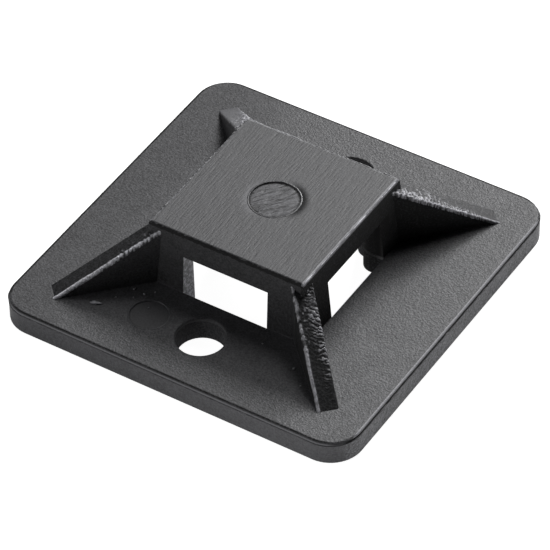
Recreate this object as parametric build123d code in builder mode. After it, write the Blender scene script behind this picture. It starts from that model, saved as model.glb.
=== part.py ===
"""Four-way cable tie mount, moulded in one piece: a square plate, a hollow bridge on four corner posts,
a rib from each post towards a corner of the plate, and two screw holes.

The origin is the centre of the underside, +Z is up, and all sizes are in millimetres.
"""

import os
from math import radians, sqrt, tan

from build123d import *

# Plate
plate_side = 28.0
plate_thickness = 1.8
plate_corner_radius = 2.4
plate_edge_round = 0.25

# Bridge: a block with drafted walls that stands on the plate
bridge_top_side = 12.4
bridge_height = 5.1
bridge_draft = 4.5
bridge_edge_round = 0.2
roof_thickness = 1.95

# Hollow under the bridge, open below, with one tie window in each wall
cavity_side = 9.0
window_width = 6.8
jamb_round = 1.0

# Ribs along the diagonals: the reach is measured from the vertical axis, the drop from the bridge's top
rib_width = 1.5
rib_reach = 15.7
rib_drop = 0.5
rib_edge_round = 0.15

# Screw holes on the Y centre line: the share is of the way from the bridge's foot to the plate's side
screw_hole_diameter = 3.5
screw_hole_share = 0.405
screw_hole_edge_round = 0.15

# Round witness marks left by the ejector pins, one on the bridge and one on the plate
bridge_mark_diameter = 3.6
plate_mark_diameter = 2.8
plate_mark_offset = 4.2
mark_depth = 0.08

bridge_top = plate_thickness + bridge_height
bridge_foot_side = bridge_top_side + 2 * bridge_height * tan(radians(bridge_draft))
window_top = bridge_top - roof_thickness
post_step = (cavity_side - window_width) / 2
rib_root = (cavity_side + bridge_top_side) / 2 / sqrt(2)
rib_head = bridge_top_side / sqrt(2) - rib_width / 2
rib_toe = rib_reach + plate_thickness / 4
rib_slope = (bridge_height - rib_drop) / (rib_reach - rib_head)
screw_hole_radius = screw_hole_diameter / 2
screw_hole_y = bridge_foot_side / 2 + screw_hole_share * (plate_side - bridge_foot_side) / 2


def is_jamb(edge):
    """A vertical edge where a window meets the hollow."""
    near, far = sorted((abs(edge.center().X), abs(edge.center().Y)))
    return abs(near - window_width / 2) < 0.01 and abs(far - cavity_side / 2) < 0.01


def rib_surface(distance):
    """Height of a rib's upper face at a distance from the vertical axis."""
    return plate_thickness + (rib_reach - distance) * rib_slope


# The space that a tie runs through, with the posts' inner corners rounded
with BuildPart() as hollow:
    with BuildSketch():
        Rectangle(cavity_side, cavity_side)
        Rectangle(window_width, bridge_foot_side)
        Rectangle(bridge_foot_side, window_width)
    extrude(amount=window_top)
    jambs = hollow.edges().filter_by(Axis.Z).filter_by(is_jamb)
    fillet(jambs, min(jamb_round, 0.95 * post_step))

# One rib along X, sunk into the plate and the bridge, with its two long upper edges rounded
with BuildPart() as rib:
    with BuildSketch(Plane.XZ):
        with BuildLine():
            Polyline(
                (rib_root, plate_thickness / 2),
                (rib_toe, plate_thickness / 2),
                (rib_toe, rib_surface(rib_toe)),
                (rib_root, rib_surface(rib_root)),
                close=True,
            )
        make_face()
    extrude(amount=rib_width / 2, both=True)
    sloped_face = rib.faces().filter_by(lambda face: face.normal_at().Z > 0.1)[0]
    long_edges = sloped_face.edges().filter_by(Axis.Y, reverse=True)
    fillet(long_edges, rib_edge_round)

with BuildPart() as mount_body:
    # Plate with rounded corners and a soft upper rim
    with BuildSketch():
        RectangleRounded(plate_side, plate_side, plate_corner_radius)
    extrude(amount=plate_thickness)
    fillet(mount_body.faces().sort_by(Axis.Z)[-1].edges(), plate_edge_round)

    # Bridge block, wider at its foot
    with BuildSketch(Plane.XY.offset(plate_thickness)):
        Rectangle(bridge_foot_side, bridge_foot_side)
    extrude(amount=bridge_height, taper=bridge_draft)
    fillet(mount_body.faces().sort_by(Axis.Z)[-1].edges(), bridge_edge_round)

    # Ribs towards the corners of the plate
    with PolarLocations(0, 4, start_angle=45):
        add(rib.part)

    add(hollow.part, mode=Mode.SUBTRACT)

    # Screw holes with a soft upper rim
    with Locations((0, -screw_hole_y, plate_thickness), (0, screw_hole_y, plate_thickness)):
        Hole(screw_hole_radius)
    plate_face = mount_body.faces().filter_by(Axis.Z).filter_by_position(
        Axis.Z, plate_thickness - 0.01, plate_thickness + 0.01
    )
    screw_rims = plate_face.edges().filter_by(GeomType.CIRCLE).filter_by(
        lambda edge: abs(edge.radius - screw_hole_radius) < 0.01
    )
    fillet(screw_rims, screw_hole_edge_round)

    # Witness marks
    with Locations((0, 0, bridge_top)):
        Hole(bridge_mark_diameter / 2, depth=mark_depth)
    with Locations((-plate_mark_offset, -screw_hole_y, plate_thickness)):
        Hole(plate_mark_diameter / 2, depth=mark_depth)

mount_body.part.label = "mount_body"
os.makedirs("parts", exist_ok=True)
export_step(mount_body.part, "parts/mount_body.step")
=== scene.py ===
"""Dresses a moulded cable tie mount: grained plate, brushed bridge, scored ribs, moulding marks and a studio."""

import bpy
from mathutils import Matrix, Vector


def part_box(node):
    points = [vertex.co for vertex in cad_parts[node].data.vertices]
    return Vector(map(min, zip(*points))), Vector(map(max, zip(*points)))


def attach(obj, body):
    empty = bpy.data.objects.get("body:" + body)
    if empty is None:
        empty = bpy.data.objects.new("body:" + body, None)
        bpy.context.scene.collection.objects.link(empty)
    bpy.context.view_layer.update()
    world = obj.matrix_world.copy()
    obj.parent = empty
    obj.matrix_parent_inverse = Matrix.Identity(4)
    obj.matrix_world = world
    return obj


bl_info = {
    "name": "Cable Tie Mount",
    "version": (1, 0, 0),
    "blender": (4, 5, 0),
    "location": "3D View > Sidebar > Tie Mount",
    "description": "Finishes a four-way cable tie mount and sets it in a plain studio",
    "category": "Object",
}

import bmesh
import bpy
import numpy as np
from bpy.props import FloatProperty, FloatVectorProperty, IntProperty, PointerProperty
from mathutils import Matrix, Vector

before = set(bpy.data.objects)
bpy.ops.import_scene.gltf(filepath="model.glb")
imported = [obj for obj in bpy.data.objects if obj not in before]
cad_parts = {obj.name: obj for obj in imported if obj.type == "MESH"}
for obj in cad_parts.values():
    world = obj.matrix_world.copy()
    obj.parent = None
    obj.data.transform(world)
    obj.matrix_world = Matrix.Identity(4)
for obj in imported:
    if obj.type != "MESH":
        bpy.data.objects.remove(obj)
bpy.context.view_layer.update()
body_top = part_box("mount_body")[1].z
MM = 0.001
CRUMB_SIZE = 0.00016


# Values a user would change


def length_property(name, description, default, precision=5):
    """A length in metres, shown with enough decimals for a small part."""
    return FloatProperty(name=name, description=description, default=default, unit="LENGTH", precision=precision)


class MountSizes(bpy.types.PropertyGroup):
    """Sizes of the mount that the finished surfaces follow"""

    plate_side: length_property("Plate side", "Side of the square plate", 0.028)
    plate_corner_radius: length_property("Plate corner radius", "Radius of the plate's corners", 0.0024)
    plate_edge_round: length_property("Plate edge round", "Radius of the plate's upper rim", 0.00025)
    plate_thickness: length_property("Plate thickness", "Thickness of the square plate", 0.0018)
    total_height: length_property("Total height", "From the underside to the bridge's top", body_top)
    bridge_top_side: length_property("Bridge top side", "Side of the bridge's square top", 0.0124)
    bridge_draft: FloatProperty(
        name="Bridge draft", description="Lean of the bridge's walls", default=np.radians(4.5), unit="ROTATION"
    )
    roof_thickness: length_property("Roof thickness", "Plastic above the tie windows", 0.00195)
    cavity_side: length_property("Cavity side", "Side of the hollow under the bridge", 0.009)
    window_width: length_property("Window width", "Width of a tie window", 0.0068)
    rib_width: length_property("Rib width", "Width of a diagonal rib", 0.0015)
    rib_reach: length_property("Rib reach", "From the mount's axis to the toe of a rib", 0.0157)
    rib_drop: length_property("Rib drop", "How far a rib starts below the bridge's top", 0.0005)
    rib_edge_round: length_property("Rib edge round", "Radius along a rib's upper edges", 0.00015)
    bridge_mark_diameter: length_property("Bridge mark diameter", "Ejector mark on the bridge", 0.0036)
    plate_mark_diameter: length_property("Plate mark diameter", "Ejector mark on the plate", 0.0028)
    plate_mark_place: FloatVectorProperty(
        name="Plate mark place", description="Centre of the plate's mark", default=(-0.0042, -0.0096), size=2,
        unit="LENGTH",
    )


class MountFinish(bpy.types.PropertyGroup):
    """Colours and surface finish of the moulded nylon"""

    nylon_colour: FloatVectorProperty(
        name="Nylon colour", description="Colour of the black nylon", default=(0.07, 0.07, 0.075), size=3,
        subtype="COLOR",
    )
    grain_per_mm: FloatProperty(
        name="Grain per mm", description="Grains of the spark-eroded finish in a millimetre", default=7.4
    )
    score_pitch: length_property("Score pitch", "Distance between tool marks across a rib", 0.00026, 6)
    score_depth: length_property("Score depth", "Depth of the tool marks across a rib", 0.00005, 6)
    rib_burr: length_property("Rib burr", "Height of the ragged burr along one edge of a rib", 0.00007, 6)
    rim_bead: length_property("Rim bead", "Radius of the flash line round the plate", 0.000045, 6)
    crumb_size: length_property("Crumb size", "Size of an average crumb of plastic on the plate", CRUMB_SIZE, 6)
    lip_height: length_property("Lip height", "Raised lip around a moulding mark", 0.00003, 6)
    burr_size: length_property("Burr size", "Radius of the burr along the bridge's edge", 0.00006, 6)
    seed: IntProperty(name="Seed", description="Start of the random patterns", default=11)


class MountStudio(bpy.types.PropertyGroup):
    """Camera, floor and lights"""

    azimuth: FloatProperty(
        name="Azimuth", description="Camera's turn about the vertical", default=np.radians(33.564), unit="ROTATION"
    )
    elevation: FloatProperty(
        name="Elevation", description="Camera's height angle", default=np.radians(43.428), unit="ROTATION"
    )
    roll: FloatProperty(name="Roll", description="Camera's roll", default=np.radians(-1.765), unit="ROTATION")
    distance: FloatProperty(
        name="Distance", description="From the camera to the mount", default=0.2778, unit="LENGTH"
    )
    width_in_view: length_property("Width in view", "Width that the picture spans at the mount", 0.550 / 14.3895)
    aim: FloatVectorProperty(
        name="Aim", description="How far the camera sits right of and above the mount's origin",
        default=(-0.0001386, -0.0001621), size=2, unit="LENGTH", precision=6,
    )
    floor_colour: FloatVectorProperty(
        name="Floor colour", description="Colour of the pale floor", default=(0.5, 0.5, 0.5), size=3,
        subtype="COLOR",
    )
    floor_glow: FloatProperty(name="Floor glow", description="How bright the floor looks by itself", default=0.97)
    floor_bounce: FloatVectorProperty(
        name="Floor bounce", description="Light that the floor's left and right halves give to the mount",
        default=(0.23, 0.46), size=2,
    )
    key_power: FloatProperty(name="Key power", description="Power of the soft key light", default=2.7, unit="POWER")
    top_power: FloatProperty(name="Top power", description="Power of the high light", default=0.70, unit="POWER")
    fill_power: FloatProperty(
        name="Fill power", description="Power of the weak fill light", default=0.5, unit="POWER"
    )
    sky_strength: FloatProperty(name="Sky strength", description="Strength of the even surroundings", default=0.002)


# Surfaces


def value_noise(across, along, seed):
    """A smooth random field from -1 to 1.

    Random values stand at the whole-number points of a lattice, and between them they are blended with
    3t^2 - 2t^3 in each direction.
    """
    table = np.random.default_rng(seed).uniform(-1.0, 1.0, (256, 256))
    u0, v0 = np.floor(across).astype(int), np.floor(along).astype(int)
    fu, fv = across - u0, along - v0
    fu, fv = fu * fu * (3 - 2 * fu), fv * fv * (3 - 2 * fv)
    near = table[u0 % 256, v0 % 256] * (1 - fu) + table[(u0 + 1) % 256, v0 % 256] * fu
    far = table[u0 % 256, (v0 + 1) % 256] * (1 - fu) + table[(u0 + 1) % 256, (v0 + 1) % 256] * fu
    return near * (1 - fv) + far * fv


def grid_quads(rows, columns, start=0, ring=False):
    """Corner numbers of the quads of a grid, row by row; a ring joins its last row to its first."""
    row = np.arange(rows if ring else rows - 1)[:, None]
    column = np.arange(columns - 1)[None, :]
    here = row * columns + column
    after = (row + 1) % rows * columns + column
    return np.stack([here, after, after + 1, here + 1], axis=-1).reshape(-1, 4) + start


def surface_object(name, grids, ring=False, flip=False, marks=None, weld=False):
    """One mesh object from grids of points in metres, each an array of rows, columns and 3.

    The marks, grids of two values for each point, become the UV map that the material reads. Welding joins the
    points that share a place, such as the ones at a pole.
    """
    points, quads, count = [], [], 0
    for grid in grids:
        rows, columns = grid.shape[:2]
        points.append(grid.reshape(-1, 3))
        quads.append(grid_quads(rows, columns, count, ring))
        count += rows * columns
    faces = np.concatenate(quads)
    if flip:
        faces = faces[:, ::-1]
    mesh = bpy.data.meshes.new(name)
    mesh.from_pydata(np.concatenate(points).tolist(), [], faces.tolist())
    if marks is not None:
        values = np.concatenate([grid.reshape(-1, 2) for grid in marks]).astype(np.float32)
        corners = np.empty(len(mesh.loops), dtype=np.int32)
        mesh.loops.foreach_get("vertex_index", corners)
        mesh.uv_layers.new(name="strip").data.foreach_set("uv", values[corners].ravel())
    if weld:
        welded = bmesh.new()
        welded.from_mesh(mesh)
        bmesh.ops.remove_doubles(welded, verts=welded.verts, dist=1e-8)
        welded.to_mesh(mesh)
        welded.free()
    mesh.shade_smooth()
    mesh.update()
    piece = bpy.data.objects.new(name, mesh)
    bpy.context.scene.collection.objects.link(piece)
    return piece


def smooth_step(value, low, high):
    """0 below the low limit, 1 above the high one and 3t^2 - 2t^3 between them."""
    t = np.clip((value - low) / (high - low), 0.0, 1.0)
    return t * t * (3 - 2 * t)


def rib_top_grid(sizes, finish, turn, burr_side, burr, tick_side, ticks, clumps, seed):
    """The scored upper side of one rib, wrapped over its two rounded edges, and the marks for its material.

    Along the rib the height falls in a straight line from the bridge to the toe. Across it the profile is
    an arc that starts inside the rib's side, a flat top and the same arc again. The tool marks are ridges,
    the sine of the distance along the rib over their pitch, bent by a smooth random field; they are tallest
    at one edge, in a strip that narrows towards the toe, and fade out there. The burr is a bell curve across
    the rib close to one edge, and random fields along the rib make it ragged, and beaded near the bridge.
    Near the bridge the peaks of a finer random field stand up as clumps. The marks are the height of all
    three over the burr's, and the distance along the rib.
    """
    half = sizes.rib_width / 2 / MM
    edge = sizes.rib_edge_round / MM
    thickness, top = sizes.plate_thickness / MM, sizes.total_height / MM
    reach, drop = sizes.rib_reach / MM, sizes.rib_drop / MM
    corner = sizes.bridge_top_side / MM / np.sqrt(2)
    head = corner - half
    slope = (top - thickness - drop) / (reach - head)
    lean = np.tan(sizes.bridge_draft)
    into_bridge, past_toe = 0.12, 0.14

    arc = np.radians(np.linspace(-70, 90, 9))
    flat = np.linspace(-(half - edge), half - edge, 33)[1:-1]
    centre = np.concatenate([np.full(9, -(half - edge)), flat, np.full(9, half - edge)])
    out_y = np.concatenate([-np.cos(arc), 0 * flat, np.cos(arc[::-1])])
    out_z = np.concatenate([np.sin(arc), 1 + 0 * flat, np.sin(arc[::-1])])
    across = centre + out_y * edge
    strip = burr_side * across[None, :]

    share = np.linspace(0.0, 1.0, 320)[:, None]
    start = corner + np.sqrt(2) * lean * drop - np.abs(across)[None, :] - into_bridge
    along = start + share * (reach + past_toe - start)

    pitch, tallest = finish.score_pitch / MM, finish.rib_burr / MM
    bend = value_noise(strip * 1.6 + 20, along * 1.3 + 20, seed)
    broken = 0.5 + 0.5 * value_noise(strip * 3.2 + 40, along * 3.4 + 40, seed + 1)
    rough = value_noise(strip * 8 + 60, along * 9 + 60, seed + 2)
    ridge = (0.5 + 0.5 * np.sin(2 * np.pi * (along / pitch + 1.1 * bend + 0.7 * strip + 0.35 * rough))) ** 1.3
    toe = 1 - 0.9 * smooth_step(share, 0.66, 0.90)
    edge_zone = 0.10 + 0.90 * smooth_step(tick_side * across[None, :] - 0.45 * share, -0.40, half - 0.30)
    score = finish.score_depth / MM * ticks * ridge * edge_zone * np.clip(0.95 * broken + 0.15, 0, 1) * toe
    bead = 0.5 + 0.5 * value_noise(along / (0.5 * pitch) + 80, strip * 3 + 30, seed + 3)
    wander = 0.5 + 0.5 * value_noise(along * 1.4 + 90, 0 * strip + 9, seed + 4)
    bell = np.exp(-(((strip - half + 0.11 + 0.05 * bend) / 0.105) ** 2))
    beaded = 0.35 + 0.6 * (1 - smooth_step(share, 0.35, 0.65))
    ragged = tallest * burr * bell * (1 - beaded * (1 - bead)) * (0.5 + 0.5 * wander)
    peaks = np.clip(value_noise(strip * 6.5 + 15, along * 6.5 + 15, seed + 5) - 0.05, 0, 1)
    one_side = 0.45 + 0.55 * smooth_step(strip, -0.2, half)
    clump = tallest * clumps * peaks * one_side * (1 - smooth_step(share, 0.15, 0.75))
    lift = 0.006 + score + ragged + clump + 0.006 * rough

    grow = edge + lift * (0.35 + 0.65 * np.clip(out_z, 0.0, 1.0))
    y = centre + out_y * grow
    height = thickness + (reach - along) * slope - edge + out_z * grow
    c, s = np.cos(turn), np.sin(turn)
    points = np.stack([along * c - y * s, along * s + y * c, height], axis=-1) * MM
    return points, np.stack([(score + ragged + clump) / tallest, along], axis=-1)


def rounded_square(half, radius, count):
    """Points round a square with rounded corners, and the outward direction at each.

    A step round the outline first slides along a side and then turns through a quarter circle. The circle's
    centre slides with it, so that both parts are the centre plus the radius times the outward direction.
    """
    part, corner = np.modf(np.arange(count) / count * 4)
    first = np.pi / 2 * corner
    slide = (np.clip(part / 0.8, 0, 1) * 2 - 1) * (half - radius)
    angle = first + np.pi / 2 * np.clip((part - 0.8) / 0.2, 0, 1)
    outward = np.stack([np.cos(angle), np.sin(angle)], axis=-1)
    along = np.stack([-np.sin(first), np.cos(first)], axis=-1)
    facing = np.stack([np.cos(first), np.sin(first)], axis=-1)
    return facing * (half - radius) + along * slide[:, None] + outward * radius, outward


def rim_bead_grid(sizes, finish, seed):
    """A fine flash line round the plate, where the rounded rim meets the side.

    A small arc that starts and ends inside the side is carried round the plate's outline. Its radius follows
    a random field of the place, so it is ragged and still meets itself.
    """
    path, outward = rounded_square(sizes.plate_side / 2 / MM, sizes.plate_corner_radius / MM, 1600)
    angle = np.radians(np.linspace(-125, 125, 9))[None, :]
    ragged = value_noise(path[:, :1] * 3.5 + 100, path[:, 1:] * 3.5 + 100, seed)
    radius = finish.rim_bead / MM * (0.75 + 0.45 * ragged)
    flat = path[:, None, :] + outward[:, None, :] * (radius * np.cos(angle))[:, :, None]
    height = (sizes.plate_thickness - sizes.plate_edge_round) / MM + radius * np.sin(angle)
    return np.concatenate([flat, height[:, :, None]], axis=-1) * MM


def crumb_grid(sizes, place, length, width, turn, seed):
    """One crumb of plastic on the plate: a flattened ball with a random skin, sunk a third of its height.

    The ball's radius is changed by a random field of the direction; its poles are single places that are
    welded later.
    """
    around = np.linspace(0, 2 * np.pi, 20, endpoint=False)[:, None]
    rise = np.linspace(-np.pi / 2, np.pi / 2, 11)[None, :]
    x, y, z = np.cos(rise) * np.cos(around), np.cos(rise) * np.sin(around), np.sin(rise) + 0 * around
    skin = 1 + 0.35 * value_noise(2.2 * x + 50, 2.2 * y + 2.2 * z + 50, seed)
    x, y, z = x * skin * length, y * skin * width, z * skin * width * 0.7
    level = sizes.plate_thickness / MM + width * 0.3
    c, s = np.cos(turn), np.sin(turn)
    return np.stack([place[0] + x * c - y * s, place[1] + x * s + y * c, level + z], axis=-1) * MM


def lip_grid(centre, level, radius, height, seed):
    """A low ragged lip round a moulding mark.

    A profile of radius and height is carried round the mark's axis: it climbs from under the recess's floor
    along its wall, crosses a rounded crest just outside the rim and runs out into the face. The crest's height
    and place follow a random field round the circle.
    """
    turn = np.linspace(0.0, 2 * np.pi, 240, endpoint=False)[:, None]
    offset = np.array([-0.045, -0.024, -0.006, 0.012, 0.032, 0.054, 0.078, 0.104, 0.130])[None, :]
    rise = np.array([-3.4, -1.3, 0.3, 0.85, 1.0, 0.9, 0.55, 0.15, -0.5])[None, :]
    wave = value_noise(4 * np.cos(turn) + 10, 4 * np.sin(turn) + 10, seed)
    fine = value_noise(14 * np.cos(turn) + 40, 14 * np.sin(turn) + 40, seed + 1)
    reach = radius / MM + offset + 0.010 * fine * (rise > 0)
    lift = height / MM * rise * np.where(rise > 0, 0.75 + 0.35 * wave + 0.25 * fine, 1.0)
    x = centre[0] / MM + reach * np.cos(turn)
    y = centre[1] / MM + reach * np.sin(turn)
    return np.stack([x, y, level / MM + lift + 0 * x], axis=-1) * MM


def burr_grid(sizes, finish, turn, amount, ragged, seed):
    """A ragged burr along one upper edge of the bridge: the one on the -Y side, turned about the axis.

    A small arc is carried along the edge, just inside it. Its radius is the sum of a constant, a long random
    wave and a short one times the raggedness, so it comes and goes; it shrinks to nothing at the ends.
    """
    half = sizes.bridge_top_side / 2 / MM
    top = sizes.total_height / MM
    size = finish.burr_size / MM * amount
    short, sunk = 0.12, 0.075
    x = np.linspace(-half + short, half - short, 420)[:, None]
    angle = np.radians(np.linspace(-60, 150, 9))[None, :]
    long_wave = 0.5 + 0.5 * value_noise(x * 0.9 + 30, 0 * x, seed)
    short_wave = value_noise(x * 5.5 + 30, 0 * x + 7, seed + 1)
    radius = size * np.clip(0.35 + 0.75 * long_wave + ragged * short_wave, 0.1, 1.8)
    ends = np.clip((half - short - np.abs(x)) / 0.5, 0, 1) ** 0.5
    y = -(half - sunk) - radius * ends * np.cos(angle)
    z = top - sunk + radius * ends * np.sin(angle) * 0.9
    c, s = np.cos(turn), np.sin(turn)
    return np.stack([x * c - y * s, x * s + y * c, z], axis=-1) * MM


# Node trees


def feed(tree, socket, value):
    """Sets a socket to a number or a colour, or links it."""
    if isinstance(value, bpy.types.NodeSocket):
        tree.links.new(value, socket)
    else:
        socket.default_value = value


def calc(tree, operation, first, second=0.5, third=0.5, clamp=False):
    """A Math node's result."""
    node = tree.nodes.new("ShaderNodeMath")
    node.operation = operation
    node.use_clamp = clamp
    for socket, value in zip(node.inputs, (first, second, third)):
        feed(tree, socket, value)
    return node.outputs[0]


def add_up(tree, *parts):
    """The sum of several values."""
    total = parts[0]
    for part in parts[1:]:
        total = calc(tree, "ADD", total, part)
    return total


def product(tree, *values):
    """The product of several values."""
    total = values[0]
    for value in values[1:]:
        total = calc(tree, "MULTIPLY", total, value)
    return total


def weighted_sum(tree, *terms):
    """The sum of terms, each the product of its values."""
    return add_up(tree, *(product(tree, *term) for term in terms))


def linear(tree, value, scale, shift):
    """A value times a scale plus a shift."""
    return calc(tree, "MULTIPLY_ADD", value, scale, shift)


def step(tree, value, low, high, to_low=0.0, to_high=1.0):
    """A smooth step of a value between two limits."""
    node = tree.nodes.new("ShaderNodeMapRange")
    node.interpolation_type = "SMOOTHSTEP"
    sockets = ("Value", "From Min", "From Max", "To Min", "To Max")
    for name, number in zip(sockets, (value, low, high, to_low, to_high)):
        feed(tree, node.inputs[name], number)
    return node.outputs["Result"]


def band(tree, value, middle, half_width, soft):
    """1 within half_width of the middle, and 0 further out than the soft border."""
    distance = calc(tree, "ABSOLUTE", calc(tree, "SUBTRACT", value, middle))
    return step(tree, distance, half_width, half_width + soft, 1.0, 0.0)


def vector(tree, operation, first, second=(0.0, 0.0, 0.0)):
    """A Vector Math node's vector result."""
    node = tree.nodes.new("ShaderNodeVectorMath")
    node.operation = operation
    feed(tree, node.inputs[0], first)
    feed(tree, node.inputs[1], second)
    return node.outputs["Vector"]


def vector_length(tree, value):
    """A vector's length."""
    node = tree.nodes.new("ShaderNodeVectorMath")
    node.operation = "LENGTH"
    feed(tree, node.inputs[0], value)
    return node.outputs["Value"]


def split_axes(tree, value):
    """A vector's X, Y and Z."""
    node = tree.nodes.new("ShaderNodeSeparateXYZ")
    tree.links.new(value, node.inputs["Vector"])
    return node.outputs


def noise(tree, place, scale, detail=2.0, roughness=0.55):
    """A noise texture's value."""
    node = tree.nodes.new("ShaderNodeTexNoise")
    for name, value in (("Vector", place), ("Scale", scale), ("Detail", detail), ("Roughness", roughness)):
        feed(tree, node.inputs[name], value)
    return node.outputs["Fac"]


def radius_from(tree, place, centre):
    """Distance in the XY plane from a point, with the place in millimetres."""
    return vector_length(
        tree, vector(tree, "MULTIPLY", vector(tree, "SUBTRACT", place, (*centre, 0.0)), (1.0, 1.0, 0.0))
    )


def group_tree(name, inputs, outputs):
    """A new node group with named sockets, its input node and its output node."""
    tree = bpy.data.node_groups.new(name, "ShaderNodeTree")
    for socket, kind, value in inputs:
        made = tree.interface.new_socket(socket, in_out="INPUT", socket_type=kind)
        if value is not None:
            made.default_value = value
    for socket, kind in outputs:
        tree.interface.new_socket(socket, in_out="OUTPUT", socket_type=kind)
    return tree, tree.nodes.new("NodeGroupInput"), tree.nodes.new("NodeGroupOutput")


def spark_grain_group():
    """Spark-eroded grain: small pits of two sizes as a height, and the uneven tone that goes with them."""
    tree, given, result = group_tree(
        "Spark grain",
        [("Place", "NodeSocketVector", None), ("Grains", "NodeSocketFloat", 4.6)],
        [("Height", "NodeSocketFloat"), ("Tone", "NodeSocketFloat")],
    )
    fine = noise(tree, given.outputs["Place"], given.outputs["Grains"], 3.0, 0.6)
    coarse = noise(tree, given.outputs["Place"], calc(tree, "MULTIPLY", given.outputs["Grains"], 0.45), 2.0, 0.5)
    broad = noise(tree, given.outputs["Place"], calc(tree, "MULTIPLY", given.outputs["Grains"], 0.12), 2.0, 0.5)
    height = calc(tree, "ADD", calc(tree, "MULTIPLY", fine, 0.7), calc(tree, "MULTIPLY", coarse, 0.3))
    tone = calc(tree, "ADD", calc(tree, "MULTIPLY", fine, 0.85), calc(tree, "MULTIPLY", broad, 0.15))
    tree.links.new(height, result.inputs["Height"])
    tree.links.new(tone, result.inputs["Tone"])
    return tree


def drawn_lines_group():
    """Fine parallel lines at an angle: noise that is stretched along one direction, more so for a low slimness."""
    tree, given, result = group_tree(
        "Drawn lines",
        [
            ("Place", "NodeSocketVector", None),
            ("Lines", "NodeSocketFloat", 8.0),
            ("Angle", "NodeSocketFloat", 0.0),
            ("Waviness", "NodeSocketFloat", 0.1),
            ("Slimness", "NodeSocketFloat", 0.15),
        ],
        [("Height", "NodeSocketFloat")],
    )
    turn = tree.nodes.new("ShaderNodeVectorRotate")
    turn.rotation_type = "Z_AXIS"
    tree.links.new(given.outputs["Place"], turn.inputs["Vector"])
    tree.links.new(given.outputs["Angle"], turn.inputs["Angle"])
    sway = calc(tree, "MULTIPLY", noise(tree, given.outputs["Place"], 0.7, 1.0), given.outputs["Waviness"])
    shift = tree.nodes.new("ShaderNodeCombineXYZ")
    tree.links.new(sway, shift.inputs["X"])
    moved = vector(tree, "ADD", turn.outputs["Vector"], shift.outputs["Vector"])
    squeeze = tree.nodes.new("ShaderNodeCombineXYZ")
    squeeze.inputs["X"].default_value = 1.0
    squeeze.inputs["Z"].default_value = 0.3
    tree.links.new(given.outputs["Slimness"], squeeze.inputs["Y"])
    stretched = vector(tree, "MULTIPLY", moved, squeeze.outputs["Vector"])
    lines = noise(tree, stretched, given.outputs["Lines"], 2.0, 0.6)
    tree.links.new(lines, result.inputs["Height"])
    return tree


def patchy_mask_group():
    """Broken patches with soft borders: a mask, 0 for clean plastic and 1 for the palest part. It breaks up the pale
    wear on the ribs and the crumbs, and the painted light on a window post.
    """
    tree, given, result = group_tree(
        "Patchy mask",
        [("Place", "NodeSocketVector", None), ("Patches", "NodeSocketFloat", 2.0), ("Cover", "NodeSocketFloat", 0.3)],
        [("Mask", "NodeSocketFloat")],
    )
    patches = noise(tree, given.outputs["Place"], given.outputs["Patches"], 4.0, 0.7)
    low = calc(tree, "SUBTRACT", 0.75, calc(tree, "MULTIPLY", given.outputs["Cover"], 0.5))
    mask = step(tree, patches, low, calc(tree, "ADD", low, 0.14))
    tree.links.new(mask, result.inputs["Mask"])
    return tree


def use_group(tree, group, **values):
    """A group node, with its inputs set or linked by name."""
    node = tree.nodes.new("ShaderNodeGroup")
    node.node_tree = group
    for name, value in values.items():
        feed(tree, node.inputs[name], value)
    return node


def shared_group(name, build):
    """The node group of that name, built the first time it is needed."""
    return bpy.data.node_groups.get(name) or build()


def grey(tree, value):
    """A grey as bright as the value."""
    node = tree.nodes.new("ShaderNodeCombineColor")
    for socket in node.inputs:
        tree.links.new(value, socket)
    return node.outputs["Color"]


def tint(tree, colour, factor):
    """A fixed colour made lighter or darker by a factor that changes over the surface."""
    node = tree.nodes.new("ShaderNodeMix")
    node.data_type = "RGBA"
    node.blend_type = "MULTIPLY"
    node.inputs["Factor"].default_value = 1.0
    node.inputs[6].default_value = (*colour, 1.0)
    tree.links.new(grey(tree, factor), node.inputs[7])
    return node.outputs[2]


def new_material(name):
    """A material with a Principled BSDF, and the object's place in millimetres."""
    material = bpy.data.materials.new(name)
    material.use_nodes = True
    tree = material.node_tree
    shader = tree.nodes["Principled BSDF"]
    place = tree.nodes.new("ShaderNodeTexCoord")
    scaled = tree.nodes.new("ShaderNodeMapping")
    scaled.inputs["Scale"].default_value = (1000.0, 1000.0, 1000.0)
    tree.links.new(place.outputs["Object"], scaled.inputs["Vector"])
    return material, tree, shader, scaled.outputs["Vector"]


def bump(tree, height, strength, distance, shader):
    """Feeds a height, in steps of distance, to the shader's normal."""
    node = tree.nodes.new("ShaderNodeBump")
    node.inputs["Strength"].default_value = strength
    node.inputs["Distance"].default_value = distance
    tree.links.new(height, node.inputs["Height"])
    tree.links.new(node.outputs["Normal"], shader.inputs["Normal"])


def paint(tree, shader, colour, factor, roughness):
    """Feeds a tinted colour and a roughness to the shader."""
    tree.links.new(tint(tree, colour, factor), shader.inputs["Base Color"])
    feed(tree, shader.inputs["Roughness"], roughness)


# Materials


# The least share of the nylon's colour that is left in a painted dark line or painted shade
DARKEST = 0.12


def height_masks(tree, z, sizes):
    """Masks for the bridge's top, the plate's top, its side and its rounded rim, and the walls between them."""
    thickness, top = sizes.plate_thickness / MM, sizes.total_height / MM
    round_start = thickness - sizes.plate_edge_round / MM
    on_top = step(tree, z, top - 0.16, top - 0.10)
    on_plate = product(
        tree,
        step(tree, z, thickness - 0.09, thickness - 0.05),
        step(tree, z, thickness + 0.06, thickness + 0.12, 1.0, 0.0),
    )
    on_side = step(tree, z, round_start, round_start + 0.05, 1.0, 0.0)
    on_rim = product(
        tree,
        step(tree, z, round_start, round_start + 0.05),
        step(tree, z, thickness - 0.09, thickness - 0.05, 1.0, 0.0),
    )
    on_wall = calc(tree, "SUBTRACT", 1.0, add_up(tree, on_top, on_plate, on_side, on_rim), clamp=True)
    return on_top, on_plate, on_side, on_rim, on_wall


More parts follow.
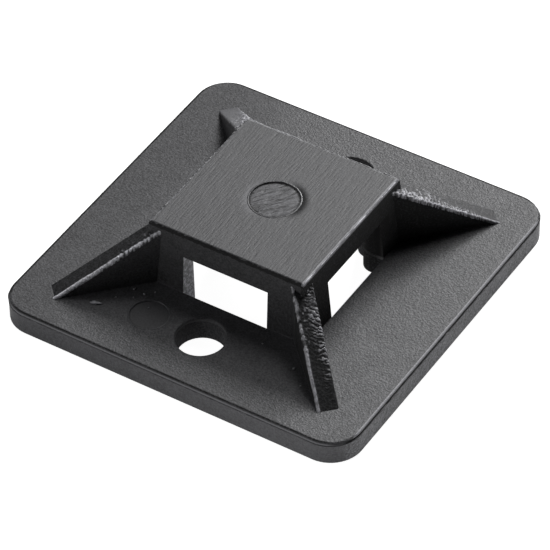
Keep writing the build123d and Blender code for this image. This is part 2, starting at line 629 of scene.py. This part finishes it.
def bridge_mark_masks(tree, place, axes, on_top, sizes):
    """Masks for the mark on the bridge, the painted shade in its rim, and the painted shade on the dark side and the
    painted highlight on the pale side of a shallow dish round it that is only painted.
    """
    x, y, _ = axes
    radius = sizes.bridge_mark_diameter / 2 / MM
    from_axis = radius_from(tree, place, (0.0, 0.0))
    in_mark = product(tree, step(tree, from_axis, radius - 0.06, radius, 1.0, 0.0), on_top)
    mark_rim_painted_shade = product(tree, band(tree, from_axis, radius - 0.07, 0.05, 0.07), on_top)
    to_right = calc(tree, "DIVIDE", linear(tree, y, 0.45, product(tree, x, 0.9)), from_axis)
    dish = product(
        tree,
        step(tree, from_axis, radius + 0.75, radius + 0.05),
        step(tree, from_axis, radius, radius + 0.06),
        on_top,
    )
    dish_painted_shade = product(tree, dish, step(tree, to_right, 0.35, 1.0))
    dish_painted_highlight = product(tree, dish, step(tree, to_right, -0.35, -1.0))
    return in_mark, mark_rim_painted_shade, dish_painted_shade, dish_painted_highlight


def plate_mark_masks(tree, place, on_plate, sizes):
    """Masks for the painted shadow over the mark on the plate and for the painted shade in its rim."""
    radius = sizes.plate_mark_diameter / 2 / MM
    from_mark = radius_from(tree, place, tuple(value / MM for value in sizes.plate_mark_place))
    in_mark = product(tree, step(tree, from_mark, radius - 0.06, radius, 1.0, 0.0), on_plate)
    return in_mark, product(tree, band(tree, from_mark, radius - 0.04, 0.04, 0.06), on_plate)


def bridge_edge_masks(tree, place, axes, on_top, sizes):
    """Masks for the ragged painted shade along the bridge's front upper edge, and the ragged painted highlights along
    its right and two far upper edges.
    """
    x, y, z = axes
    half, top = sizes.bridge_top_side / 2 / MM, sizes.total_height / MM
    ragged = noise(tree, place, 2.6, 4.0, 0.65)
    front_edge_painted_shade = product(
        tree,
        step(tree, linear(tree, ragged, 0.20, product(tree, y, -1.0)), half - 0.02, half + 0.05),
        step(tree, linear(tree, ragged, 0.35, z), top - 0.16, top - 0.06),
    )
    right_edge_painted_highlight = product(
        tree,
        step(tree, linear(tree, ragged, 0.12, x), half - 0.17, half - 0.08),
        step(tree, z, top - 0.24, top - 0.16),
    )
    far_edges_painted_highlight = product(
        tree,
        on_top,
        step(tree, ragged, 0.42, 0.56),
        add_up(tree, step(tree, y, half - 0.22, half - 0.14), step(tree, x, 0.22 - half, 0.14 - half)),
    )
    return front_edge_painted_shade, right_edge_painted_highlight, far_edges_painted_highlight


def rim_masks(tree, place, axes, on_side, sizes):
    """Masks for the plate's right side, for the painted highlight and painted shade lines along its rim, and for the
    painted shade on the walls of the screw holes.

    The outline is where the distance outside the square that the centres of the corner rounds span equals
    their radius.
    """
    x, y, z = axes
    half, thickness = sizes.plate_side / 2 / MM, sizes.plate_thickness / MM
    outline = sizes.plate_corner_radius / MM
    inner = (sizes.plate_side / 2 - sizes.plate_corner_radius) / MM
    spread = vector(tree, "SUBTRACT", vector(tree, "ABSOLUTE", place), (inner, inner, 0.0))
    spread = vector(tree, "MULTIPLY", vector(tree, "MAXIMUM", spread, (0.0, 0.0, 0.0)), (1.0, 1.0, 0.0))
    outward = vector_length(tree, spread)
    at_outline = step(tree, outward, outline - 0.32, outline - 0.28)
    to_front = product(tree, at_outline, step(tree, y, 0.6 - half, 0.2 - half))
    to_right = product(tree, at_outline, step(tree, x, half - 0.6, half - 0.2))
    to_far = product(
        tree,
        at_outline,
        add_up(tree, step(tree, y, half - 0.6, half - 0.2), step(tree, x, 0.6 - half, 0.2 - half)),
    )
    front_rim_painted_shade = product(tree, to_front, band(tree, z, thickness - 0.022, 0.014, 0.010))
    front_rim_painted_highlight = product(tree, to_front, band(tree, z, thickness - 0.14, 0.035, 0.02))
    right_rim_painted_highlight = product(
        tree,
        to_right,
        step(tree, z, thickness - 0.10, thickness - 0.08),
        step(tree, x, half - 0.23, half - 0.19),
    )
    right_rim_painted_shade = product(tree, to_right, band(tree, z, thickness - 0.20, 0.09, 0.02))
    far_rim_painted_shade = product(tree, to_far, step(tree, outward, outline - 0.28, outline - 0.22))
    hole_painted_shade = product(tree, calc(tree, "SUBTRACT", 1.0, at_outline), on_side)
    return to_right, front_rim_painted_shade, front_rim_painted_highlight, right_rim_painted_highlight, right_rim_painted_shade, far_rim_painted_shade, hole_painted_shade


def jamb_masks(tree, axes, sizes):
    """Masks for the painted light on the inner side of the front window's left post, and for the painted shade on
    that of the right window's far post.
    """
    x, y, z = axes
    half_top, top = sizes.bridge_top_side / 2 / MM, sizes.total_height / MM
    half_window, half_cavity = sizes.window_width / 2 / MM, sizes.cavity_side / 2 / MM
    post, half_post = (half_window + half_cavity) / 2, (half_cavity - half_window) / 2
    roof = top - sizes.roof_thickness / MM
    under_roof = step(tree, z, roof + 0.1, roof)
    lean = float(np.tan(sizes.bridge_draft))
    behind_wall = linear(tree, z, -lean, calc(tree, "ADD", y, half_top + lean * top))
    near_jamb_painted_light = product(
        tree,
        band(tree, x, -post, half_post, 0.05),
        step(tree, behind_wall, 0.02, 0.06),
        step(tree, y, -half_cavity + 0.25, -half_cavity + 0.15),
        under_roof,
    )
    far_jamb_painted_shade = product(
        tree,
        band(tree, y, post, half_post, 0.05),
        step(tree, x, half_top + 0.35, half_cavity + 1.4),
        step(tree, x, half_cavity - 0.3, half_cavity - 0.2),
        under_roof,
    )
    return near_jamb_painted_light, far_jamb_painted_shade


def body_material(sizes, finish):
    """Black nylon: grain on the plate, brushed lines on the bridge, smoother walls and worked-out marks, with painted
    shade and painted highlights along edges, in hollows and on faces that the light misses or catches.
    """
    material, tree, shader, place = new_material("nylon_body")
    axes = split_axes(tree, place)
    x, _, z = axes
    half_top = sizes.bridge_top_side / 2 / MM
    on_top, on_plate, on_side, on_rim, on_wall = height_masks(tree, z, sizes)
    in_mark, mark_rim_painted_shade, dish_painted_shade, dish_painted_highlight = bridge_mark_masks(tree, place, axes, on_top, sizes)
    plate_mark_painted_shadow, plate_mark_rim_painted_shade = plate_mark_masks(tree, place, on_plate, sizes)
    front_edge_painted_shade, right_edge_painted_highlight, far_edges_painted_highlight = bridge_edge_masks(tree, place, axes, on_top, sizes)
    rim = rim_masks(tree, place, axes, on_side, sizes)
    to_right, front_rim_painted_shade, front_rim_painted_highlight, right_rim_painted_highlight, right_rim_painted_shade, far_rim_painted_shade, hole_painted_shade = rim
    near_jamb_painted_light, far_jamb_painted_shade = jamb_masks(tree, axes, sizes)
    plate_left_painted_shade = product(tree, on_plate, step(tree, x, -4.0, -12.0))
    right_wall_painted_shade = product(tree, on_wall, step(tree, x, half_top - 0.3, half_top - 0.1))
    drawn = calc(tree, "SUBTRACT", on_top, in_mark)

    lines = shared_group("Drawn lines", drawn_lines_group)
    grain = use_group(tree, shared_group("Spark grain", spark_grain_group), Place=place, Grains=finish.grain_per_mm)
    brushed = use_group(tree, lines, Place=place, Lines=9.0, Angle=0.0, Waviness=0.06, Slimness=0.09)
    slanted = use_group(tree, lines, Place=place, Lines=8.5, Angle=np.radians(34), Waviness=0.22, Slimness=0.12)
    patchy = use_group(tree, shared_group("Patchy mask", patchy_mask_group), Place=place, Patches=4.2, Cover=0.6)
    grain_tone = calc(tree, "SUBTRACT", grain.outputs["Tone"], 0.5)
    brushed_tone = calc(tree, "SUBTRACT", brushed.outputs["Height"], 0.5)
    slanted_tone = calc(tree, "SUBTRACT", slanted.outputs["Height"], 0.5)

    factor = weighted_sum(
        tree,
        (on_plate, linear(tree, grain_tone, 2.6, 1.0)),
        # Painted shade: the plate is darker towards its left
        (plate_left_painted_shade, -0.2),
        # Painted light: the plate's sides are lighter than the rest, the right side most
        (on_side, linear(tree, grain_tone, 3.0, 1.6)),
        (on_side, to_right, linear(tree, grain_tone, 8.0, 0.8)),
        (on_rim, linear(tree, grain_tone, 1.0, 1.0)),
        # Painted shade: the bridge's walls are darker than the rest, the right wall most
        (on_wall, linear(tree, grain_tone, 2.4, 0.60)),
        (right_wall_painted_shade, -0.45),
        (on_top, linear(tree, grain_tone, 2.0, 0.96)),
        # Painted shade in the screw holes, and painted highlight and painted shade lines along the plate's rim
        (hole_painted_shade, -0.9),
        (front_rim_painted_shade, -0.8),
        (front_rim_painted_highlight, 2.6),
        (right_rim_painted_highlight, 4.2),
        (right_rim_painted_shade, -1.4),
        (far_rim_painted_shade, -0.9),
        (drawn, brushed_tone, 1.1),
        (in_mark, linear(tree, slanted_tone, 6.0, 0.45)),
        # Painted shade in the bridge mark's rim, and the painted shade and painted highlight of a dish round it
        (mark_rim_painted_shade, -0.8),
        (dish_painted_shade, -1.0),
        (dish_painted_highlight, 1.0),
        # Painted shade along the bridge's front upper edge, painted highlights along its right and far upper edges
        (front_edge_painted_shade, -0.9),
        (right_edge_painted_highlight, 3.4),
        (far_edges_painted_highlight, 1.8),
        # Painted shadow over the plate's mark, and painted shade in its rim
        (plate_mark_painted_shadow, -0.55),
        (plate_mark_rim_painted_shade, -0.7),
        # Painted light, mottled, on the front window's left post, and painted shade on the right window's far post
        (near_jamb_painted_light, linear(tree, patchy.outputs["Mask"], 0.6, 0.4), 12.0),
        (far_jamb_painted_shade, -0.5),
    )

    # The painted dark lines and painted shade are dull as well, because a shiny one would still catch the light
    dull = weighted_sum(
        tree,
        (dish_painted_shade, 1.0),
        (front_edge_painted_shade, 0.7),
        (mark_rim_painted_shade, 0.4),
        (front_rim_painted_shade, 0.8),
        (right_rim_painted_shade, 1.0),
        (far_rim_painted_shade, 1.0),
        (hole_painted_shade, 0.8),
        (far_jamb_painted_shade, 1.0),
        (plate_mark_rim_painted_shade, 0.6),
        (plate_mark_painted_shadow, 0.9),
        (plate_left_painted_shade, 0.3),
        (right_wall_painted_shade, 0.6),
    )
    roughness = weighted_sum(
        tree,
        (on_plate, linear(tree, grain_tone, -0.4, 0.50)),
        (on_side, 0.50),
        (on_rim, 0.42),
        (on_wall, 0.48),
        (on_top, linear(tree, brushed_tone, 0.3, 0.50)),
        (dull, 0.5),
    )
    factor = calc(tree, "MAXIMUM", factor, DARKEST)
    paint(tree, shader, finish.nylon_colour, factor, calc(tree, "MINIMUM", roughness, 1.0))

    height = weighted_sum(
        tree,
        (on_plate, grain.outputs["Height"], 1.35),
        (on_side, grain.outputs["Height"], 1.7),
        (on_wall, grain.outputs["Height"], 0.6),
        (on_top, grain.outputs["Height"], 0.3),
        (drawn, brushed.outputs["Height"], 0.65),
        (in_mark, slanted.outputs["Height"], 2.4),
    )
    bump(tree, height, 0.7, 0.00006, shader)
    return material


def rib_material(finish):
    """Scored nylon: dark between the tool marks, and pale where the marks, the burr and the clumps stand up, a
    painted highlight with some pale wear; each rib's tone is painted lighter or darker by how the light falls on it.
    """
    material, tree, shader, place = new_material("nylon_scored")
    strip_map = tree.nodes.new("ShaderNodeUVMap")
    strip_map.uv_map = "strip"
    relief = step(tree, split_axes(tree, strip_map.outputs["UV"])[0], 0.08, 0.80)
    x, y, _ = split_axes(tree, place)
    grain = use_group(tree, shared_group("Spark grain", spark_grain_group), Place=place, Grains=7.0)
    patchy = use_group(tree, shared_group("Patchy mask", patchy_mask_group), Place=place, Patches=4.0, Cover=0.7)
    tone = calc(tree, "SUBTRACT", grain.outputs["Tone"], 0.5)
    on_back = step(tree, calc(tree, "SUBTRACT", y, x), 3.0, 5.0)
    # Painted light and shade: each rib's tone is lighter or darker by how the light falls on it, the back rib
    # lightest and the front one darkest
    painted_light_per_rib = add_up(
        tree,
        step(tree, y, -1.0, 1.0, 0.30, 0.82),
        step(tree, x, -1.0, 1.0, 0.10, -0.10),
        product(tree, on_back, 0.7),
    )
    # Painted highlight, with some pale wear, where the marks, the burr and the clumps stand up; its strength is set
    # rib by rib by how the light falls
    pale = product(tree, relief, linear(tree, patchy.outputs["Mask"], 0.55, 0.45))
    wear_and_highlight_strength = linear(tree, on_back, -6.5, step(tree, x, -1.0, 1.0, 11.5, 7.0))
    factor = add_up(tree, linear(tree, tone, 2.6, painted_light_per_rib), product(tree, pale, wear_and_highlight_strength))
    factor = calc(tree, "MAXIMUM", factor, DARKEST)
    paint(tree, shader, finish.nylon_colour, factor, linear(tree, pale, -0.14, 0.50))
    bump(tree, grain.outputs["Height"], 0.6, 0.00005, shader)
    return material


def lip_material(sizes, finish):
    """Nylon squeezed up round a mark or along an edge: shinier than the faces, with painted highlights along the
    bridge's right and far upper edges and painted shade along its front one.
    """
    material, tree, shader, place = new_material("nylon_lip")
    x, y, z = split_axes(tree, place)
    half, high = sizes.bridge_top_side / 2 / MM, sizes.total_height / MM - 1.0
    grain = use_group(tree, shared_group("Spark grain", spark_grain_group), Place=place, Grains=6.0)
    tone = calc(tree, "SUBTRACT", grain.outputs["Tone"], 0.5)
    on_bridge = step(tree, z, high, high + 0.2)
    # Painted highlights along the bridge's right and far upper edges, and painted shade along its front one
    right_painted_highlight = product(tree, on_bridge, step(tree, x, half - 0.3, half - 0.2))
    far_painted_highlight = product(
        tree, step(tree, x, 0.0, -4.0, 0.2, 1.0), on_bridge, step(tree, y, half - 0.3, half - 0.2)
    )
    in_shade = product(tree, on_bridge, step(tree, y, 0.35 - half, 0.25 - half))
    factor = add_up(
        tree,
        linear(tree, tone, 1.6, 1.1),
        weighted_sum(tree, (right_painted_highlight, 9.0), (far_painted_highlight, 3.2), (in_shade, -0.5)),
    )
    factor = calc(tree, "MAXIMUM", factor, 0.15)
    paint(tree, shader, finish.nylon_colour, factor, linear(tree, tone, -0.3, 0.40))
    bump(tree, grain.outputs["Height"], 0.4, 0.00003, shader)
    return material


def crumb_material(finish):
    """Torn nylon: paler than the plate, with a broken tone."""
    material, tree, shader, place = new_material("nylon_torn")
    patchy = use_group(tree, shared_group("Patchy mask", patchy_mask_group), Place=place, Patches=9.0, Cover=0.7)
    mask = patchy.outputs["Mask"]
    paint(tree, shader, finish.nylon_colour, linear(tree, mask, 3.0, 3.0), linear(tree, mask, 0.15, 0.40))
    bump(tree, mask, 0.4, 0.00003, shader)
    return material


def floor_material(studio):
    """A pale, even floor that glows, with a faint cloudy tone; its right half gives the mount more light."""
    material, tree, shader, place = new_material("studio_floor")
    cloud = noise(tree, place, 0.004, 2.0)
    paint(tree, shader, studio.floor_colour, linear(tree, cloud, 0.02, 0.99), 0.9)
    shader.inputs["Specular IOR Level"].default_value = 0.1
    left, right = studio.floor_bounce
    bounce = step(tree, split_axes(tree, place)[0], -12.0, 12.0, left, right)
    seen = tree.nodes.new("ShaderNodeLightPath")
    extra = calc(tree, "SUBTRACT", studio.floor_glow, bounce)
    glow = linear(tree, seen.outputs["Is Camera Ray"], extra, bounce)
    tree.links.new(grey(tree, glow), shader.inputs["Emission Color"])
    shader.inputs["Emission Strength"].default_value = 1.0
    return material


def dress(piece, material):
    """Gives a piece its one material and lets it ride on the mount's body."""
    piece.data.materials.clear()
    piece.data.materials.append(material)
    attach(piece, "root")


# Operators


class TIEMOUNT_OT_finish_body(bpy.types.Operator):
    """Give the moulded body its grained, brushed and smooth nylon finish, with painted highlights and painted shade
    """

    bl_idname = "tie_mount.finish_body"
    bl_label = "Finish Body"

    def execute(self, context):
        scene = context.scene
        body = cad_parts["mount_body"]
        body.data.materials.clear()
        body.data.materials.append(body_material(scene.mount_sizes, scene.mount_finish))
        return {"FINISHED"}


# For each rib: its turn in degrees, its burr's side and amount, its tool marks' side and amount, and its clumps
RIB_WEAR = (
    (45.0, -1, 1.0, -1, 1.8, 1.8),
    (135.0, -1, 0.3, -1, 1.8, 2.6),
    (225.0, 1, 2.0, 1, 0.4, 0.3),
    (315.0, -1, 1.5, 1, 1.5, 0.8),
)

# For each edge of the bridge: its turn in degrees, its burr's amount and raggedness, and what its seed adds
EDGE_BURRS = ((0.0, 0.7, 0.55, 3), (90.0, 1.15, 0.18, 8), (180.0, 1.8, 0.2, 12), (-90.0, 1.3, 0.45, 17))

# For each crumb: its place, half its length and half its width, in millimetres, and its turn in degrees
CRUMBS = (
    (-7.97, -10.54, 0.40, 0.15, 31), (-6.45, -8.00, 0.10, 0.07, 70), (-5.58, -8.09, 0.09, 0.07, 10),
    (-6.05, -8.75, 0.06, 0.05, 120), (-7.10, -9.35, 0.07, 0.05, 50), (-5.05, -7.55, 0.06, 0.05, 0),
    (3.96, -8.00, 0.07, 0.05, 20), (7.05, -8.95, 0.12, 0.08, 80), (8.30, -10.10, 0.07, 0.05, 45),
    (-4.60, -9.05, 0.05, 0.04, 90),
)


class TIEMOUNT_OT_score_ribs(bpy.types.Operator):
    """Lay the scored, beaded upper sides on the four ribs"""

    bl_idname = "tie_mount.score_ribs"
    bl_label = "Score Ribs"

    def execute(self, context):
        sizes, finish = context.scene.mount_sizes, context.scene.mount_finish
        made = [
            rib_top_grid(sizes, finish, np.radians(turn), *wear, finish.seed + 10 * index)
            for index, (turn, *wear) in enumerate(RIB_WEAR)
        ]
        grids, marks = zip(*made)
        ribs = surface_object("rib_scored_tops", grids, marks=marks)
        dress(ribs, rib_material(finish))
        return {"FINISHED"}


class TIEMOUNT_OT_lip_marks(bpy.types.Operator):
    """Raise the ragged lips round the two moulding marks"""

    bl_idname = "tie_mount.lip_marks"
    bl_label = "Lip Marks"

    def execute(self, context):
        sizes, finish = context.scene.mount_sizes, context.scene.mount_finish
        grids = [
            lip_grid((0.0, 0.0), sizes.total_height, sizes.bridge_mark_diameter / 2, finish.lip_height, finish.seed),
            lip_grid(
                sizes.plate_mark_place, sizes.plate_thickness, sizes.plate_mark_diameter / 2, finish.lip_height,
                finish.seed + 5,
            ),
        ]
        lips = surface_object("moulding_mark_lips", grids, ring=True, flip=True)
        dress(lips, lip_material(sizes, finish))
        return {"FINISHED"}


class TIEMOUNT_OT_burr_edge(bpy.types.Operator):
    """Run the ragged burrs along the four upper edges of the bridge"""

    bl_idname = "tie_mount.burr_edge"
    bl_label = "Burr Edge"

    def execute(self, context):
        sizes, finish = context.scene.mount_sizes, context.scene.mount_finish
        grids = [
            burr_grid(sizes, finish, np.radians(turn), amount, ragged, finish.seed + more)
            for turn, amount, ragged, more in EDGE_BURRS
        ]
        burr = surface_object("bridge_edge_burr", grids)
        dress(burr, bpy.data.materials.get("nylon_lip") or lip_material(sizes, finish))
        return {"FINISHED"}


class TIEMOUNT_OT_bead_rim(bpy.types.Operator):
    """Run the fine flash line round the plate's rim"""

    bl_idname = "tie_mount.bead_rim"
    bl_label = "Bead Rim"

    def execute(self, context):
        sizes, finish = context.scene.mount_sizes, context.scene.mount_finish
        bead = surface_object("plate_rim_bead", [rim_bead_grid(sizes, finish, finish.seed + 7)], ring=True, flip=True)
        dress(bead, bpy.data.materials.get("nylon_lip") or lip_material(sizes, finish))
        return {"FINISHED"}


class TIEMOUNT_OT_drop_crumbs(bpy.types.Operator):
    """Leave a few torn crumbs of plastic beside the ribs"""

    bl_idname = "tie_mount.drop_crumbs"
    bl_label = "Drop Crumbs"

    def execute(self, context):
        sizes, finish = context.scene.mount_sizes, context.scene.mount_finish
        scale = finish.crumb_size / CRUMB_SIZE
        grids = [
            crumb_grid(sizes, (x, y), length * scale, width * scale, np.radians(turn), finish.seed + index)
            for index, (x, y, length, width, turn) in enumerate(CRUMBS)
        ]
        crumbs = surface_object("plate_crumbs", grids, ring=True, flip=True, weld=True)
        dress(crumbs, crumb_material(finish))
        return {"FINISHED"}


class TIEMOUNT_OT_set_stage(bpy.types.Operator):
    """Set up the pale floor, the soft lights, the surroundings and the camera"""

    bl_idname = "tie_mount.set_stage"
    bl_label = "Set Stage"

    def execute(self, context):
        scene, studio = context.scene, context.scene.mount_studio
        self.floor(studio)
        self.lamp("key_light", (-0.078, 0.444, 0.316), studio.key_power, 0.20)
        self.lamp("top_light", (-0.024, 0.274, 0.476), studio.top_power, 0.20)
        self.lamp("fill_light", (-0.30, -0.35, 0.25), studio.fill_power, 0.30)
        self.surroundings(scene, studio)
        self.camera(scene, studio)
        scene.view_settings.view_transform = "Standard"
        return {"FINISHED"}

    def floor(self, studio):
        """A level square of floor, two metres wide, just under the mount."""
        half, below = 1.0, 0.00002
        line = np.linspace(-half, half, 21)
        x, y = np.meshgrid(line, line, indexing="ij")
        floor = surface_object("studio_floor", [np.stack([x, y, 0 * x - below], axis=-1)])
        floor.data.materials.append(floor_material(studio))

    def lamp(self, name, place, power, size):
        """A square area light that faces the mount."""
        data = bpy.data.lights.new(name, "AREA")
        data.energy = power
        data.size = size
        lamp = bpy.data.objects.new(name, data)
        lamp.location = place
        lamp.rotation_euler = (-Vector(place)).to_track_quat("-Z", "Y").to_euler()
        bpy.context.scene.collection.objects.link(lamp)

    def surroundings(self, scene, studio):
        """An even pale world."""
        world = bpy.data.worlds.new("studio_world")
        world.use_nodes = True
        background = world.node_tree.nodes["Background"]
        background.inputs["Color"].default_value = (1.0, 1.0, 1.0, 1.0)
        background.inputs["Strength"].default_value = studio.sky_strength
        scene.world = world

    def camera(self, scene, studio):
        """The camera looks at the mount's origin from the azimuth and elevation, and is then rolled and shifted."""
        turn, rise, roll = studio.azimuth, studio.elevation, studio.roll
        level = np.array([np.cos(turn), np.sin(turn), 0.0])
        upward = np.array([-np.sin(turn) * np.sin(rise), np.cos(turn) * np.sin(rise), np.cos(rise)])
        toward = np.cross(level, upward)
        right = np.cos(roll) * level + np.sin(roll) * upward
        up = -np.sin(roll) * level + np.cos(roll) * upward
        place = toward * studio.distance + right * studio.aim[0] + up * studio.aim[1]
        data = bpy.data.cameras.new("studio_camera")
        sensor = 36.0
        data.sensor_width = sensor
        data.lens = sensor * studio.distance / studio.width_in_view
        data.clip_start = 0.01
        camera = bpy.data.objects.new("studio_camera", data)
        pose = Matrix.Identity(4)
        for column, axis in enumerate((right, up, toward, place)):
            for row in range(3):
                pose[row][column] = axis[row]
        camera.matrix_world = pose
        scene.collection.objects.link(camera)
        scene.camera = camera


class TIEMOUNT_PT_panel(bpy.types.Panel):
    """Lists the mount's pieces and values"""

    bl_idname = "TIEMOUNT_PT_panel"
    bl_label = "Cable Tie Mount"
    bl_space_type = "VIEW_3D"
    bl_region_type = "UI"
    bl_category = "Tie Mount"

    def draw(self, context):
        layout, scene = self.layout, context.scene
        for operator in OPERATORS:
            layout.operator(operator.bl_idname)
        groups = (("Sizes", scene.mount_sizes), ("Finish", scene.mount_finish), ("Studio", scene.mount_studio))
        for title, group in groups:
            box = layout.box()
            box.label(text=title)
            for name in group.__annotations__:
                box.prop(group, name)


OPERATORS = (
    TIEMOUNT_OT_finish_body,
    TIEMOUNT_OT_score_ribs,
    TIEMOUNT_OT_lip_marks,
    TIEMOUNT_OT_burr_edge,
    TIEMOUNT_OT_bead_rim,
    TIEMOUNT_OT_drop_crumbs,
    TIEMOUNT_OT_set_stage,
)
CLASSES = (MountSizes, MountFinish, MountStudio, *OPERATORS, TIEMOUNT_PT_panel)


def register():
    for cls in CLASSES:
        bpy.utils.register_class(cls)
    bpy.types.Scene.mount_sizes = PointerProperty(type=MountSizes)
    bpy.types.Scene.mount_finish = PointerProperty(type=MountFinish)
    bpy.types.Scene.mount_studio = PointerProperty(type=MountStudio)


def unregister():
    for name in ("mount_sizes", "mount_finish", "mount_studio"):
        delattr(bpy.types.Scene, name)
    for cls in reversed(CLASSES):
        bpy.utils.unregister_class(cls)


def main():
    register()
    bpy.ops.tie_mount.finish_body()
    bpy.ops.tie_mount.score_ribs()
    bpy.ops.tie_mount.lip_marks()
    bpy.ops.tie_mount.burr_edge()
    bpy.ops.tie_mount.bead_rim()
    bpy.ops.tie_mount.drop_crumbs()
    bpy.ops.tie_mount.set_stage()


if __name__ == "__main__":
    main()
